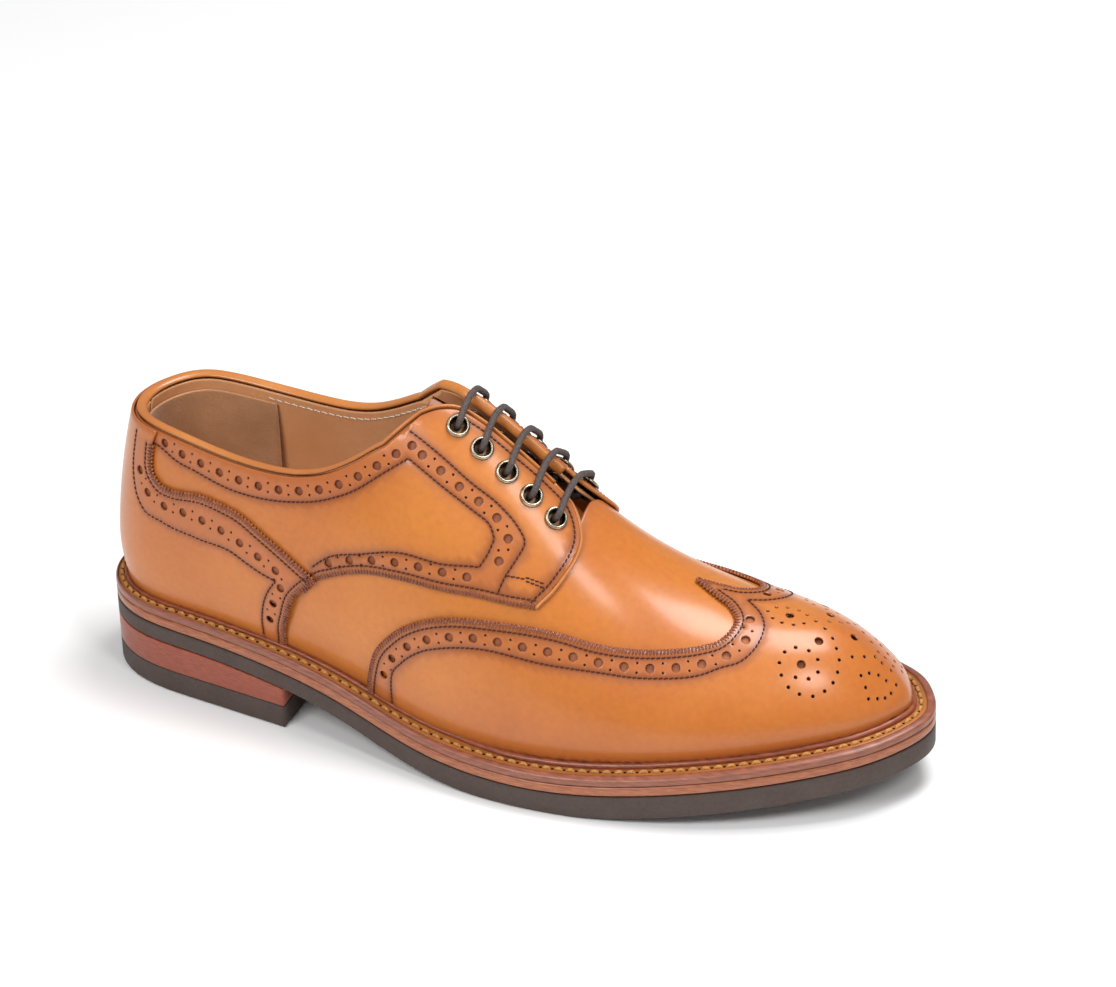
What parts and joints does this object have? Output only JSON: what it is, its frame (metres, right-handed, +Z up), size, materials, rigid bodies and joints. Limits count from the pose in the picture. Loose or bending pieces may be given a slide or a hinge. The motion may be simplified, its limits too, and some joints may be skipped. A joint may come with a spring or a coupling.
{
  "type": "leather lace-up shoe",
  "caption": "Right-foot leather derby shoe with wing cap, brogue seams, laced facings, storm welt, stacked heel and rubber sole.",
  "frame": {"origin": "centre of the shoe's footprint box on the floor", "axes": "+X to the toe, +Y to the inner (medial) side, +Z up"},
  "size_m": [0.308, 0.1076, 0.1298],
  "materials": {
    "calf": "polished tan calf, burnished at the seams",
    "binding": "rolled tan leather edge",
    "lining": "smooth vegetable tanned lining",
    "suede": "suede",
    "tongue_leather": "soft tan leather",
    "stiffener": "firm leather board",
    "sole_leather": "dyed and waxed leather edge",
    "welt": "waxed leather strip",
    "insole_leather": "natural leather",
    "cork": "pressed cork",
    "steel": "spring steel",
    "rubber": "matt dark brown rubber",
    "brass": "antique nickelled brass",
    "lace": "waxed round cotton",
    "aglet": "dark film sleeve"
  },
  "bodies": {
    "shoe": {"rubber_outsole": "rubber", "leather_midsole": "sole_leather", "storm_welt": "welt", "cork_filler": "cork", "steel_shank": "steel", "insole": "insole_leather", "heel_sock": "lining", "heel_lift": "sole_leather", "heel_top_piece": "rubber", "heel_nail_1": "brass", "heel_nail_2": "brass", "heel_nail_3": "brass", "heel_nail_4": "brass", "heel_nail_5": "brass", "heel_nail_6": "brass", "vamp": "calf", "wing_cap": "calf", "toe_puff": "stiffener", "vamp_lining": "lining", "quarter_outer": "calf", "quarter_lining_outer": "lining", "facing_stay_outer": "stiffener", "quarter_inner": "calf", "quarter_lining_inner": "lining", "facing_stay_inner": "stiffener", "counter_cover": "calf", "heel_stiffener": "stiffener", "heel_grip": "suede", "topline_binding": "binding", "eyelet_outer_1": "brass", "eyelet_outer_2": "brass", "eyelet_outer_3": "brass", "eyelet_outer_4": "brass", "eyelet_outer_5": "brass", "eyelet_inner_1": "brass", "eyelet_inner_2": "brass", "eyelet_inner_3": "brass", "eyelet_inner_4": "brass", "eyelet_inner_5": "brass", "shoelace": "lace", "aglet_1": "aglet", "aglet_2": "aglet"},
    "tongue": {"tongue": "tongue_leather", "tongue_lining": "lining"}
  },
  "joints": [
    {"name": "tongue_fold", "type": "hinge", "parent": "shoe", "child": "tongue", "pos_m": [0.0405, 0.0046, 0.0695], "axis": [0, 1, 0], "range_deg": [-15, 0], "stiffness_Nm_per_rad": 0.03, "springref_deg": 17.19}
  ]
}
